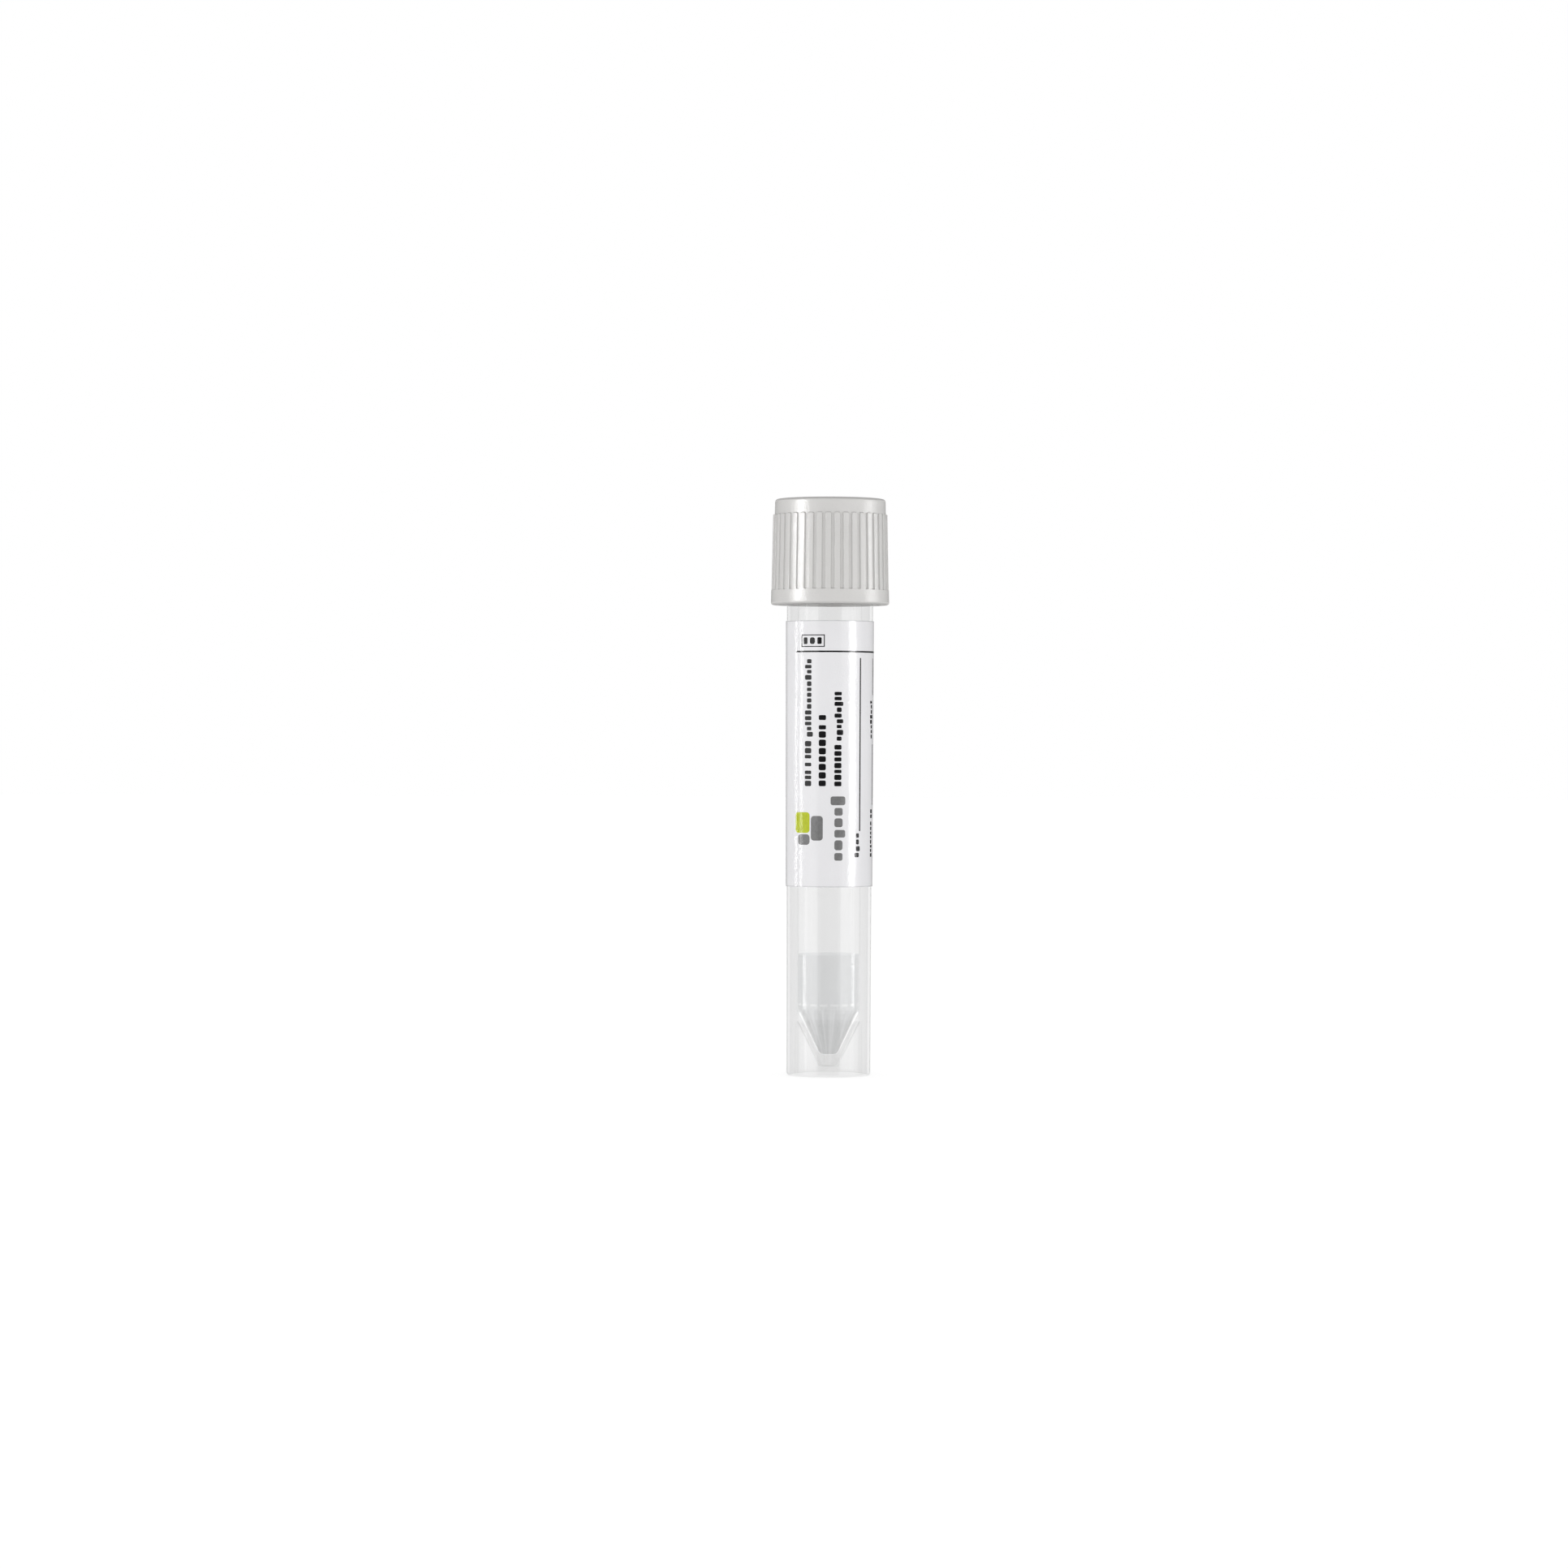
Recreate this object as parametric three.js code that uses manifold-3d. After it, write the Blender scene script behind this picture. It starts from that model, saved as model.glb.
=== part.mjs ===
// Self-standing specimen transport tube: a skirted tube with a conical bore, a ribbed screw cap with a
// plug and a swab-stick socket, a sealing ring, a wrapped label and the transport medium.
// Millimetres, +Z up. The origin is on the tube's axis, in the plane its foot stands on.
import * as THREE from 'three';
import { mergeVertices } from 'three/addons/utils/BufferGeometryUtils.js';
import Module from 'manifold-3d';

// Tube body
const TUBE_LENGTH = 77.6;
const BODY_RADIUS = 6.0;
const BODY_DRAFT = 0.0024;
const BODY_WALL = 1.5;
const BORE_DRAFT = 0.0019;
const RIM_ROUND = 0.35;
const MOUTH_ROUND = 0.3;

// Neck that the cap screws on to
const NECK_LENGTH = 11.3;
const NECK_STEP = 0.3;
const SHOULDER_RISE = 0.4;
const SHOULDER_ROUND = 0.25;

// Conical bottom of the bore
const CONE_HALF_ANGLE = THREE.MathUtils.degToRad(26.6);
const CONE_FLOOR_Z = 2.75;
const CONE_FLOOR_RADIUS = 1.245;
const CONE_TOP_BLEND = 3.0;
const CONE_FLOOR_BLEND = 0.7;
const CONE_WALL = 0.715;
const TIP_THICKNESS = 1.55;
const TIP_ROUND = 0.3;

// Skirt round the cone
const SKIRT_WALL = 1.09;
const SKIRT_DRAFT = 0.01;
const CREASE_WIDTH = 0.34;
const CREASE_ROUND = 0.14;
const FOOT_OUTER_ROUND = 0.4;
const FOOT_INNER_ROUND = 0.2;

// Screw cap, outside
const CAP_HEIGHT = 14.67;
const CAP_TOP_WALL = 1.2;
const CAP_WALL = 1.03;
const CAP_DRAFT = 0.0192;
const CAP_TOP_ROUND = 0.5;
const CAP_BOTTOM_ROUND = 0.35;
const TOP_BAND = 2.1;
const FLANGE_HEIGHT = 2.07;
const FLANGE_STEP = 0.26;
const FLANGE_ROUND = 0.1;
const RIB_COUNT = 40;
const RIB_PHASE = THREE.MathUtils.degToRad(6.5);
const RIB_WIDTH = 0.82;
const RIB_HEIGHT = 0.22;
const RIB_BEVEL = 0.12;
const RIB_END_SLOPE = 0.16;

// Screw cap, inside
const THREAD_ROOM = 0.95;
const CAP_MOUTH_CHAMFER = 0.4;
const CAP_CORNER_ROUND = 0.4;
const PLUG_CLEARANCE = 0.2;
const PLUG_WALL = 0.9;
const PLUG_LENGTH = 4.3;
const PLUG_TAPER = 0.03;
const PLUG_LEAD_ROUND = 0.4;
const SOCKET_RADIUS = 1.25;
const SOCKET_WALL = 0.8;
const SOCKET_LENGTH = 7.0;
const SOCKET_DRAFT = 0.02;
const SOCKET_FLARE = 0.5;
const SOCKET_FLARE_HEIGHT = 1.2;
const SOCKET_TIP_ROUND = 0.12;

// Flat sealing ring between the rim and the cap's ceiling
const SEAL_THICKNESS = 1.0;
const SEAL_SEAT_GAP = 0.1;
const SEAL_PLUG_CLEARANCE = 0.25;
const SEAL_WALL_CLEARANCE = 0.35;

// Label and medium
const LABEL_HEIGHT = 36.77;
const LABEL_TOP_GAP = 2.28;
const LABEL_THICKNESS = 0.1;
const LABEL_STANDOFF = 0.03;
const LABEL_VIEW_STRIP = 2.4;
const MEDIUM_DEPTH = 14.48;
const MEDIUM_GAP = 0.05;

// Fineness of the facets
const TURN_SEGMENTS = 60;
const CAVITY_SEGMENTS = 48;
const CAP_SEGMENTS = 2 * RIB_COUNT;
const ARC_STEP = THREE.MathUtils.degToRad(31);

// Levels and radii that follow from the sizes above
const shoulderZ = TUBE_LENGTH - NECK_LENGTH;
const neckRadius = BODY_RADIUS - NECK_STEP;
const boreRadius = BODY_RADIUS - BODY_WALL;
const capCeilingZ = TUBE_LENGTH + SEAL_THICKNESS + 2 * SEAL_SEAT_GAP;
const capTopZ = capCeilingZ + CAP_TOP_WALL;
const capBottomZ = capTopZ - CAP_HEIGHT;
const capBoreRadius = neckRadius + THREAD_ROOM;
const plugRadius = boreRadius - PLUG_CLEARANCE;
const ribTopZ = capTopZ - TOP_BAND;
const flangeTopZ = capBottomZ + FLANGE_HEIGHT;
const coneSlope = Math.tan(CONE_HALF_ANGLE);
const coneCosine = Math.cos(CONE_HALF_ANGLE);

// Radii of the drafted walls at a height
const bodyRadiusAt = (z) => BODY_RADIUS - BODY_DRAFT * (shoulderZ - z);
const boreRadiusAt = (z) => boreRadius - BORE_DRAFT * (TUBE_LENGTH - z);
const skirtRadiusAt = (z) => bodyRadiusAt(0) - SKIRT_WALL - SKIRT_DRAFT * z;
const capCoreRadiusAt = (z) => capBoreRadius + CAP_WALL + CAP_DRAFT * (capTopZ - z);

// Radius of the bore's cone at a height, on a surface moved outwards by an offset.
const coneRadiusAt = (z, offset) => (
  CONE_FLOOR_RADIUS + (z - CONE_FLOOR_Z) * coneSlope + offset / coneCosine
);

const wasm = await Module();
wasm.setup();

// A corner of an outline: a radius, a height and the radius of the arc that rounds it.
function corner(r, z, round = 0) {
  return { point: new THREE.Vector2(r, z), round };
}

// Points of the arc that rounds the corner between its two neighbours.
function arcPoints(before, at, after) {
  const back = before.point.clone().sub(at.point).normalize();
  const ahead = after.point.clone().sub(at.point).normalize();
  const half = Math.acos(THREE.MathUtils.clamp(back.dot(ahead), -1, 1)) / 2;
  const middle = back.clone().add(ahead).normalize();
  const centre = at.point.clone().addScaledVector(middle, at.round / Math.sin(half));
  const start = at.point.clone().addScaledVector(back, at.round / Math.tan(half)).sub(centre);
  const turn = (Math.PI - 2 * half) * Math.sign(ahead.cross(back));
  const steps = Math.max(1, Math.ceil(Math.abs(turn) / ARC_STEP));
  const origin = new THREE.Vector2();
  return Array.from({ length: steps + 1 }, (_, i) => (
    start.clone().rotateAround(origin, (turn * i) / steps).add(centre)
  ));
}

// An outline of corners as points, with each rounded corner replaced by its arc.
function outline(corners) {
  return corners.flatMap((at, i) => (
    at.round > 0 ? arcPoints(corners[i - 1], at, corners[i + 1]) : [at.point]
  ));
}

// Revolves an outline that starts and ends on the axis, or closes on itself, about +Z.
function revolve(corners, segments) {
  return new THREE.LatheGeometry(outline(corners), segments).rotateX(Math.PI / 2);
}

function toSolid(geometry) {
  const bare = geometry.clone();
  bare.deleteAttribute('normal');
  bare.deleteAttribute('uv');
  const merged = mergeVertices(bare, 1e-4);
  return new wasm.Manifold(new wasm.Mesh({
    numProp: 3,
    vertProperties: Float32Array.from(merged.attributes.position.array),
    triVerts: Uint32Array.from(merged.index.array),
  }));
}

function toGeometry(solid) {
  const mesh = solid.getMesh();
  const geometry = new THREE.BufferGeometry();
  geometry.setAttribute('position', new THREE.BufferAttribute(mesh.vertProperties, 3));
  geometry.setIndex(new THREE.BufferAttribute(mesh.triVerts, 1));
  geometry.computeVertexNormals();
  return geometry;
}

// The bore's conical bottom, from its wall down to the axis, on a surface moved inwards by a gap.
function boreBottomOutline(gap) {
  const wallFoot = boreRadius - BORE_DRAFT * TUBE_LENGTH - gap;
  const coneFoot = coneRadiusAt(0, -gap);
  const coneTopZ = (wallFoot - coneFoot) / (coneSlope - BORE_DRAFT);
  const floorZ = CONE_FLOOR_Z + gap;
  return [
    corner(boreRadiusAt(coneTopZ) - gap, coneTopZ, CONE_TOP_BLEND - gap),
    corner(coneRadiusAt(floorZ, -gap), floorZ, CONE_FLOOR_BLEND - gap),
    corner(0, floorZ),
  ];
}

// The underside of the tube, from the axis to the foot: the cone's tip, its flank, the crease where
// it meets the skirt, and the skirt's inner wall.
function undersideOutline() {
  const tipZ = CONE_FLOOR_Z - TIP_THICKNESS;
  const reach = skirtRadiusAt(0) - CREASE_WIDTH - coneRadiusAt(0, CONE_WALL);
  const creaseZ = reach / (coneSlope + SKIRT_DRAFT);
  return [
    corner(0, tipZ),
    corner(coneRadiusAt(tipZ, CONE_WALL), tipZ, TIP_ROUND),
    corner(coneRadiusAt(creaseZ, CONE_WALL), creaseZ, CREASE_ROUND),
    corner(skirtRadiusAt(creaseZ), creaseZ, CREASE_ROUND),
    corner(skirtRadiusAt(0), 0, FOOT_INNER_ROUND),
  ];
}

function makeTube() {
  return revolve([
    ...undersideOutline(),
    corner(bodyRadiusAt(0), 0, FOOT_OUTER_ROUND),
    corner(BODY_RADIUS, shoulderZ, SHOULDER_ROUND),
    corner(neckRadius, shoulderZ + SHOULDER_RISE, SHOULDER_ROUND),
    corner(neckRadius, TUBE_LENGTH, RIM_ROUND),
    corner(boreRadius, TUBE_LENGTH, MOUTH_ROUND),
    ...boreBottomOutline(0),
  ], TURN_SEGMENTS);
}

function makeMedium() {
  const surfaceZ = CONE_FLOOR_Z + MEDIUM_DEPTH;
  return revolve([
    ...boreBottomOutline(MEDIUM_GAP).reverse(),
    corner(boreRadiusAt(surfaceZ) - MEDIUM_GAP, surfaceZ),
    corner(0, surfaceZ),
  ], TURN_SEGMENTS);
}

// The cap's outside without its ribs: flange, drafted core and rounded top.
function capCore() {
  return revolve([
    corner(0, capBottomZ),
    corner(capCoreRadiusAt(capBottomZ) + FLANGE_STEP, capBottomZ, CAP_BOTTOM_ROUND),
    corner(capCoreRadiusAt(flangeTopZ) + FLANGE_STEP, flangeTopZ, FLANGE_ROUND),
    corner(capCoreRadiusAt(flangeTopZ), flangeTopZ),
    corner(capCoreRadiusAt(capTopZ), capTopZ, CAP_TOP_ROUND),
    corner(0, capTopZ),
  ], CAP_SEGMENTS);
}

// One grip rib: its side view, sunk into the core and the flange, extruded across its width with
// chamfered edges.
function makeRib() {
  const sunkZ = flangeTopZ - FLANGE_HEIGHT / 3;
  const sink = CAP_WALL / 3;
  const side = new THREE.Shape([
    new THREE.Vector2(capCoreRadiusAt(sunkZ) - sink, sunkZ),
    new THREE.Vector2(capCoreRadiusAt(sunkZ) + RIB_HEIGHT, sunkZ),
    new THREE.Vector2(capCoreRadiusAt(ribTopZ) + RIB_HEIGHT, ribTopZ - RIB_END_SLOPE),
    new THREE.Vector2(capCoreRadiusAt(ribTopZ), ribTopZ),
    new THREE.Vector2(capCoreRadiusAt(ribTopZ) - sink, ribTopZ),
  ]);
  const depth = RIB_WIDTH - 2 * RIB_BEVEL;
  const rib = new THREE.ExtrudeGeometry(side, {
    depth,
    bevelThickness: RIB_BEVEL,
    bevelSize: RIB_BEVEL,
    bevelOffset: -RIB_BEVEL,
    bevelSegments: 1,
  });
  return rib.translate(0, 0, -depth / 2).rotateX(Math.PI / 2);
}

// The hollow inside the cap, round the plug and the stick socket.
function capCavity() {
  const plugTipZ = capCeilingZ - PLUG_LENGTH;
  const plugTipRadius = plugRadius - PLUG_TAPER * PLUG_LENGTH;
  const socketTipZ = capCeilingZ - SOCKET_LENGTH;
  const flareZ = socketTipZ + SOCKET_FLARE_HEIGHT;
  const socketOuter = SOCKET_RADIUS + SOCKET_FLARE + SOCKET_WALL / 2;
  const belowZ = capBottomZ - CAP_MOUTH_CHAMFER;
  return revolve([
    corner(0, belowZ),
    corner(capBoreRadius + 2 * CAP_MOUTH_CHAMFER, belowZ),
    corner(capBoreRadius, capBottomZ + CAP_MOUTH_CHAMFER),
    corner(capBoreRadius, capCeilingZ, CAP_CORNER_ROUND),
    corner(plugRadius, capCeilingZ),
    corner(plugTipRadius, plugTipZ, PLUG_LEAD_ROUND),
    corner(plugTipRadius - PLUG_WALL, plugTipZ, PLUG_LEAD_ROUND),
    corner(plugRadius - PLUG_WALL, capCeilingZ),
    corner(socketOuter + SOCKET_DRAFT * SOCKET_LENGTH, capCeilingZ),
    corner(socketOuter, socketTipZ, SOCKET_TIP_ROUND),
    corner(SOCKET_RADIUS + SOCKET_FLARE, socketTipZ, SOCKET_TIP_ROUND),
    corner(SOCKET_RADIUS, flareZ),
    corner(SOCKET_RADIUS, capCeilingZ),
    corner(0, capCeilingZ),
  ], CAVITY_SEGMENTS);
}

function makeCap() {
  const rib = makeRib();
  let cap = toSolid(capCore());
  for (let i = 0; i < RIB_COUNT; i += 1) {
    const angle = RIB_PHASE + (2 * Math.PI * i) / RIB_COUNT;
    cap = cap.add(toSolid(rib.clone().rotateZ(angle)));
  }
  return toGeometry(cap.subtract(toSolid(capCavity())));
}

function makeSeal() {
  const bottomZ = TUBE_LENGTH + SEAL_SEAT_GAP;
  const topZ = bottomZ + SEAL_THICKNESS;
  const inner = plugRadius + SEAL_PLUG_CLEARANCE;
  const outer = capBoreRadius - SEAL_WALL_CLEARANCE;
  return revolve([
    corner(inner, bottomZ),
    corner(outer, bottomZ),
    corner(outer, topZ),
    corner(inner, topZ),
    corner(inner, bottomZ),
  ], CAVITY_SEGMENTS);
}

// A band of film round the body with a strip left open at the back, tapered as the body is.
function makeLabel() {
  const topZ = capBottomZ - LABEL_TOP_GAP;
  const bottomZ = topZ - LABEL_HEIGHT;
  const inner = bodyRadiusAt(bottomZ) + LABEL_STANDOFF;
  const outer = inner + LABEL_THICKNESS;
  const halfStrip = LABEL_VIEW_STRIP / 2 / inner;
  const start = Math.PI / 2 + halfStrip;
  const end = Math.PI / 2 - halfStrip + 2 * Math.PI;
  const band = new THREE.Shape();
  band.absarc(0, 0, outer, start, end, false);
  band.absarc(0, 0, inner, end, start, true);
  const label = new THREE.ExtrudeGeometry(band, {
    depth: LABEL_HEIGHT,
    bevelEnabled: false,
    curveSegments: TURN_SEGMENTS,
  });
  const spot = label.attributes.position;
  for (let i = 0; i < spot.count; i += 1) {
    const radius = Math.hypot(spot.getX(i), spot.getY(i));
    const widen = 1 + (BODY_DRAFT * spot.getZ(i)) / radius;
    spot.setXY(i, spot.getX(i) * widen, spot.getY(i) * widen);
  }
  return label.translate(0, 0, bottomZ);
}

function addPart(group, name, geometry, finish) {
  const mesh = new THREE.Mesh(geometry, new THREE.MeshStandardMaterial(finish));
  mesh.name = name;
  group.add(mesh);
}

const clearPlastic = { color: 0xe9eaea, roughness: 0.2, metalness: 0, transparent: true, opacity: 0.35 };
const capPlastic = { color: 0xcdccca, roughness: 0.45, metalness: 0 };
const sealRubber = { color: 0xd9d8d3, roughness: 0.7, metalness: 0 };
const labelFilm = { color: 0xe7e7e9, roughness: 0.3, metalness: 0 };
const medium = { color: 0xcfd4d1, roughness: 0.05, metalness: 0, transparent: true, opacity: 0.5 };

const specimenTube = new THREE.Group();
addPart(specimenTube, 'tube', makeTube(), clearPlastic);
addPart(specimenTube, 'screw_cap', makeCap(), capPlastic);
addPart(specimenTube, 'seal_ring', makeSeal(), sealRubber);
addPart(specimenTube, 'label', makeLabel(), labelFilm);
addPart(specimenTube, 'transport_medium', makeMedium(), medium);

export default specimenTube;
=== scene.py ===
"""Looks of a self-standing specimen tube: clear tube, ribbed screw cap, sealing ring, label and medium.

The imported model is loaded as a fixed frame, and each of its nodes is stood for by a finer surface that is
worked out with numpy. Lengths are in metres, +Z is up, and the tube's axis is the Z axis. The front faces -Y.
"""

import math

import bpy
import numpy as np
from bpy.props import FloatProperty, FloatVectorProperty, IntProperty, PointerProperty
from bpy.types import Operator, Panel, PropertyGroup
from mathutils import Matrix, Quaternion, Vector


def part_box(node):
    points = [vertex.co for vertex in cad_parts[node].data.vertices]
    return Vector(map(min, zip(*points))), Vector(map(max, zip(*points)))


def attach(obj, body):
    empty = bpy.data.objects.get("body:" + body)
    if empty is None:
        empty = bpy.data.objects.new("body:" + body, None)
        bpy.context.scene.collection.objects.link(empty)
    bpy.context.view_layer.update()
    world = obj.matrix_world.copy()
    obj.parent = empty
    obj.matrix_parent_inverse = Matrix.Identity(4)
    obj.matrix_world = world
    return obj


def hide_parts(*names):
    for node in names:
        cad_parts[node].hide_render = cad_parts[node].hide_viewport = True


bl_info = {
    "name": "Specimen Tube",
    "version": (1, 0, 0),
    "blender": (4, 5, 0),
    "location": "View3D > Sidebar > Specimen Tube",
    "description": "Builds a capped specimen tube with its label, its medium and a plain stage",
    "category": "Add Mesh",
}

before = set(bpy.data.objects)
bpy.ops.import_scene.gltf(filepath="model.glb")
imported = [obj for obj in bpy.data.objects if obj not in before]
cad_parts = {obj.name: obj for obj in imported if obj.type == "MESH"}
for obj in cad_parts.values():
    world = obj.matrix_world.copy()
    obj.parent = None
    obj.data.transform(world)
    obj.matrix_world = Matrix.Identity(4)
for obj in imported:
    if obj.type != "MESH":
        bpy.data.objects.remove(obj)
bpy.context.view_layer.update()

MM = 0.001
TINY = 1e-9
TURN = 2.0 * math.pi
FRONT = -math.pi / 2.0
WHITE = (1.0, 1.0, 1.0, 1.0)
TUBE_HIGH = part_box("tube")[1]
CAP_LOW, CAP_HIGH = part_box("screw_cap")
SEAL_LOW, SEAL_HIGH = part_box("seal_ring")
LABEL_LOW, LABEL_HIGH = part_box("label")
MEDIUM_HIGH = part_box("transport_medium")[1]

# Drafts of the moulded walls, as radius per length
BODY_DRAFT = 0.0024
BORE_DRAFT = 0.0019
SKIRT_DRAFT = 0.01
CAP_DRAFT = 0.0192
PLUG_TAPER = 0.03
SOCKET_DRAFT = 0.02

# Where the thread starts over the shoulder and ends under the rim
THREAD_START = 2.0 * MM
THREAD_END = 1.0 * MM

# How much lower than its node the medium is drawn, and its distance from the bore
MEDIUM_DROP = 0.4 * MM
MEDIUM_CLEARANCE = 0.05 * MM

# Turn of the first grip rib, and columns from its middle to the groove's, as shares of a rib and a groove
RIB_PHASE = math.radians(6.5)
RIB_STATIONS = np.array([0.0, 0.14, 0.262, 0.288, 0.312, 0.337, 0.375, 0.5])

# Fineness of the meshes. Support is how close to a rounded corner a straight run gets its extra point
ARC_STEP = math.radians(16)
SUPPORT = 0.06 * MM
TUBE_COLUMNS = 256
SEAL_COLUMNS = 160
MEDIUM_COLUMNS = 192
NECK_ROWS = 96
CAP_THREAD_ROWS = 88

# Relief of the clear walls, and how bright the open sky makes a white floor
RIPPLE = 0.004 * MM
SKY_ON_FLOOR = 0.63


# ---- sizes and colours


def length(name, description, default):
    """A size in metres that the panel shows as a length."""
    return FloatProperty(name=name, description=description, default=default, min=0.0,
                         unit="LENGTH", subtype="DISTANCE", precision=5)


def turn(name, description, degrees):
    """An angle that the panel shows in degrees."""
    return FloatProperty(name=name, description=description, default=math.radians(degrees),
                         subtype="ANGLE", unit="ROTATION")


def count(name, description, default, low, high):
    """A whole number between two limits."""
    return IntProperty(name=name, description=description, default=default, min=low, max=high)


def colour(name, description, default):
    """A linear colour of three parts."""
    return FloatVectorProperty(name=name, description=description, default=default, size=3,
                               min=0.0, max=1.0, subtype="COLOR")


class TubeSizes(PropertyGroup):
    """Sizes of the clear tube."""

    height: length("Height", "From the foot to the rim", TUBE_HIGH.z)
    radius: length("Radius", "Outer radius below the shoulder", TUBE_HIGH.x)
    wall: length("Wall", "Thickness of the wall at the rim", 1.5 * MM)
    neck_length: length("Neck length", "From the shoulder to the rim", 11.3 * MM)
    neck_step: length("Neck step", "How much the neck is set in from the body", 0.3 * MM)
    floor_height: length("Bore floor", "Height of the bore's floor over the foot", 2.75 * MM)
    floor_radius: length("Bore floor radius", "Radius of the bore's floor", 1.245 * MM)
    cone_angle: turn("Cone angle", "Half angle of the bore's conical bottom", 26.6)
    cone_wall: length("Cone wall", "Thickness of the cone's wall", 0.715 * MM)
    tip: length("Tip", "Thickness under the bore's floor", 1.55 * MM)
    skirt_wall: length("Skirt wall", "Thickness of the skirt at the foot", 1.09 * MM)
    thread_lead: length("Thread lead", "Rise of the thread in one turn", 5.0 * MM)
    thread_starts: count("Thread starts", "How many ridges wind side by side", 2, 1, 4)
    thread_height: length("Thread height", "How far the thread stands out of the neck", 0.65 * MM)


class CapSizes(PropertyGroup):
    """Sizes of the screw cap."""

    top: length("Top", "Height of the cap's top over the foot", CAP_HIGH.z)
    height: length("Height", "Height of the cap", CAP_HIGH.z - CAP_LOW.z)
    top_wall: length("Top wall", "Thickness of the cap's top", 1.2 * MM)
    wall: length("Wall", "Thickness of the cap's wall at the top", 1.03 * MM)
    bore: length("Bore", "Inner radius of the cap", 6.65 * MM)
    top_band: length("Top band", "Height of the plain band over the ribs", 2.1 * MM)
    flange_height: length("Flange height", "Height of the plain flange under the ribs", 2.07 * MM)
    flange_step: length("Flange step", "How far the flange stands out of the wall", 0.26 * MM)
    rib_count: count("Ribs", "Number of grip ribs", 40, 8, 80)
    rib_width: length("Rib width", "Width of a rib", 0.82 * MM)
    rib_height: length("Rib height", "How far a rib stands out of the wall", 0.22 * MM)
    thread_height: length("Thread height", "How far the inner thread stands out of the wall", 0.7 * MM)
    plug_radius: length("Plug radius", "Radius of the plug at its root", 4.3 * MM)
    plug_length: length("Plug length", "Length of the plug", 4.3 * MM)
    socket_radius: length("Socket radius", "Inner radius of the swab stick's socket", 1.25 * MM)
    socket_length: length("Socket length", "Length of the swab stick's socket", 7.0 * MM)


class LabelSizes(PropertyGroup):
    """Sizes of the wrapped label and its print."""

    bottom: length("Bottom", "Height of the label's lower edge", LABEL_LOW.z)
    top: length("Top", "Height of the label's upper edge", LABEL_HIGH.z)
    thickness: length("Thickness", "Thickness of the film", 0.1 * MM)
    standoff: length("Standoff", "Glue line between the tube and the film", 0.03 * MM)
    strip: length("View strip", "Width of the strip left open at the back", 2.4 * MM)
    corner: length("Corner", "Radius of the film's cut corners", 1.2 * MM)
    ink: length("Ink", "How far the print stands out of the film", 0.012 * MM)


class Colours(PropertyGroup):
    """Colours of the pieces."""

    wall: colour("Tube", "Light left after the tube's outer surface", (0.911, 0.911, 0.911))
    inner: colour("Tube inside", "Light left after the tube's inner surfaces", (0.992, 0.992, 0.992))
    medium: colour("Medium", "Light left after the medium's surface", (0.923, 0.927, 0.929))
    cap: colour("Cap", "Moulded plastic of the cap", (0.632, 0.624, 0.612))
    # Painted light: the inside is coloured paler than the outside's plastic, for the light that comes through
    # the wall.
    cap_inside: colour("Cap inside", "Inner walls, paler as light comes through", (0.86, 0.85, 0.835))
    seal: colour("Seal", "Rubber of the sealing ring", (0.74, 0.73, 0.70))
    film: colour("Label", "Film of the label", (0.800, 0.796, 0.812))
    # The edge colour is painted shade: a dark line along the film's cut edges.
    edge: colour("Label edge", "Cut edge of the label", (0.58, 0.58, 0.59))
    black: colour("Black ink", "Small text, rules and boxes", (0.010, 0.010, 0.011))
    grey: colour("Grey ink", "Large text and two tiles", (0.18, 0.18, 0.18))
    green: colour("Green ink", "Plain tile", (0.44, 0.505, 0.001))


class Studio(PropertyGroup):
    """The stage, its light and its camera."""

    floor_size: length("Floor", "Width of the floor", 6.0)
    floor_shade: FloatProperty(name="Floor shade", description="Share of the floor's white that takes shadow",
                               default=0.8, min=0.0, max=1.0, subtype="FACTOR")
    lens: FloatProperty(name="Lens", description="Focal length on a 36 mm sensor", default=99.54,
                        unit="CAMERA")
    distance: length("Distance", "From the camera to the tube's axis", 0.603)
    eye: length("Camera height", "Height of the camera over the floor", 46.3 * MM)
    aim: length("Aim height", "Height of the picture's centre at the tube", 40.43 * MM)
    aside: length("Aside", "How far the tube stands to the right of the picture's centre", 6.31 * MM)
    roll: turn("Roll", "Turn of the camera about its own view", 0.2)


class SpecimenTube(PropertyGroup):
    """Everything that the panel shows."""

    tube: PointerProperty(type=TubeSizes)
    cap: PointerProperty(type=CapSizes)
    label: PointerProperty(type=LabelSizes)
    colours: PointerProperty(type=Colours)
    studio: PointerProperty(type=Studio)


# ---- outlines and surfaces


def smoothstep(low, high, x):
    """0 below low and 1 above high, with 3t^2 - 2t^3 between them. High may be the lower of the two."""
    t = np.clip((x - low) / (high - low), 0.0, 1.0)
    return t * t * (3.0 - 2.0 * t)


def arc(before, at, after, radius):
    """Points of the arc that rounds a corner. Its centre lies on the corner's bisector, radius / sin(half
    the corner's angle) away, and its ends are where it touches the two edges."""
    back = (before - at) / np.hypot(*(before - at))
    ahead = (after - at) / np.hypot(*(after - at))
    half = math.acos(float(np.clip(back @ ahead, -1.0, 1.0))) / 2.0
    middle = (back + ahead) / np.hypot(*(back + ahead))
    centre = at + middle * radius / math.sin(half)
    x, y = at + back * radius / math.tan(half) - centre
    sweep = math.copysign(math.pi - 2.0 * half, ahead[0] * back[1] - ahead[1] * back[0])
    angle = np.linspace(0.0, sweep, max(2, math.ceil(abs(sweep) / ARC_STEP) + 1))
    cosine, sine = np.cos(angle), np.sin(angle)
    return centre + np.stack([x * cosine - y * sine, x * sine + y * cosine], axis=1)


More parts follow.
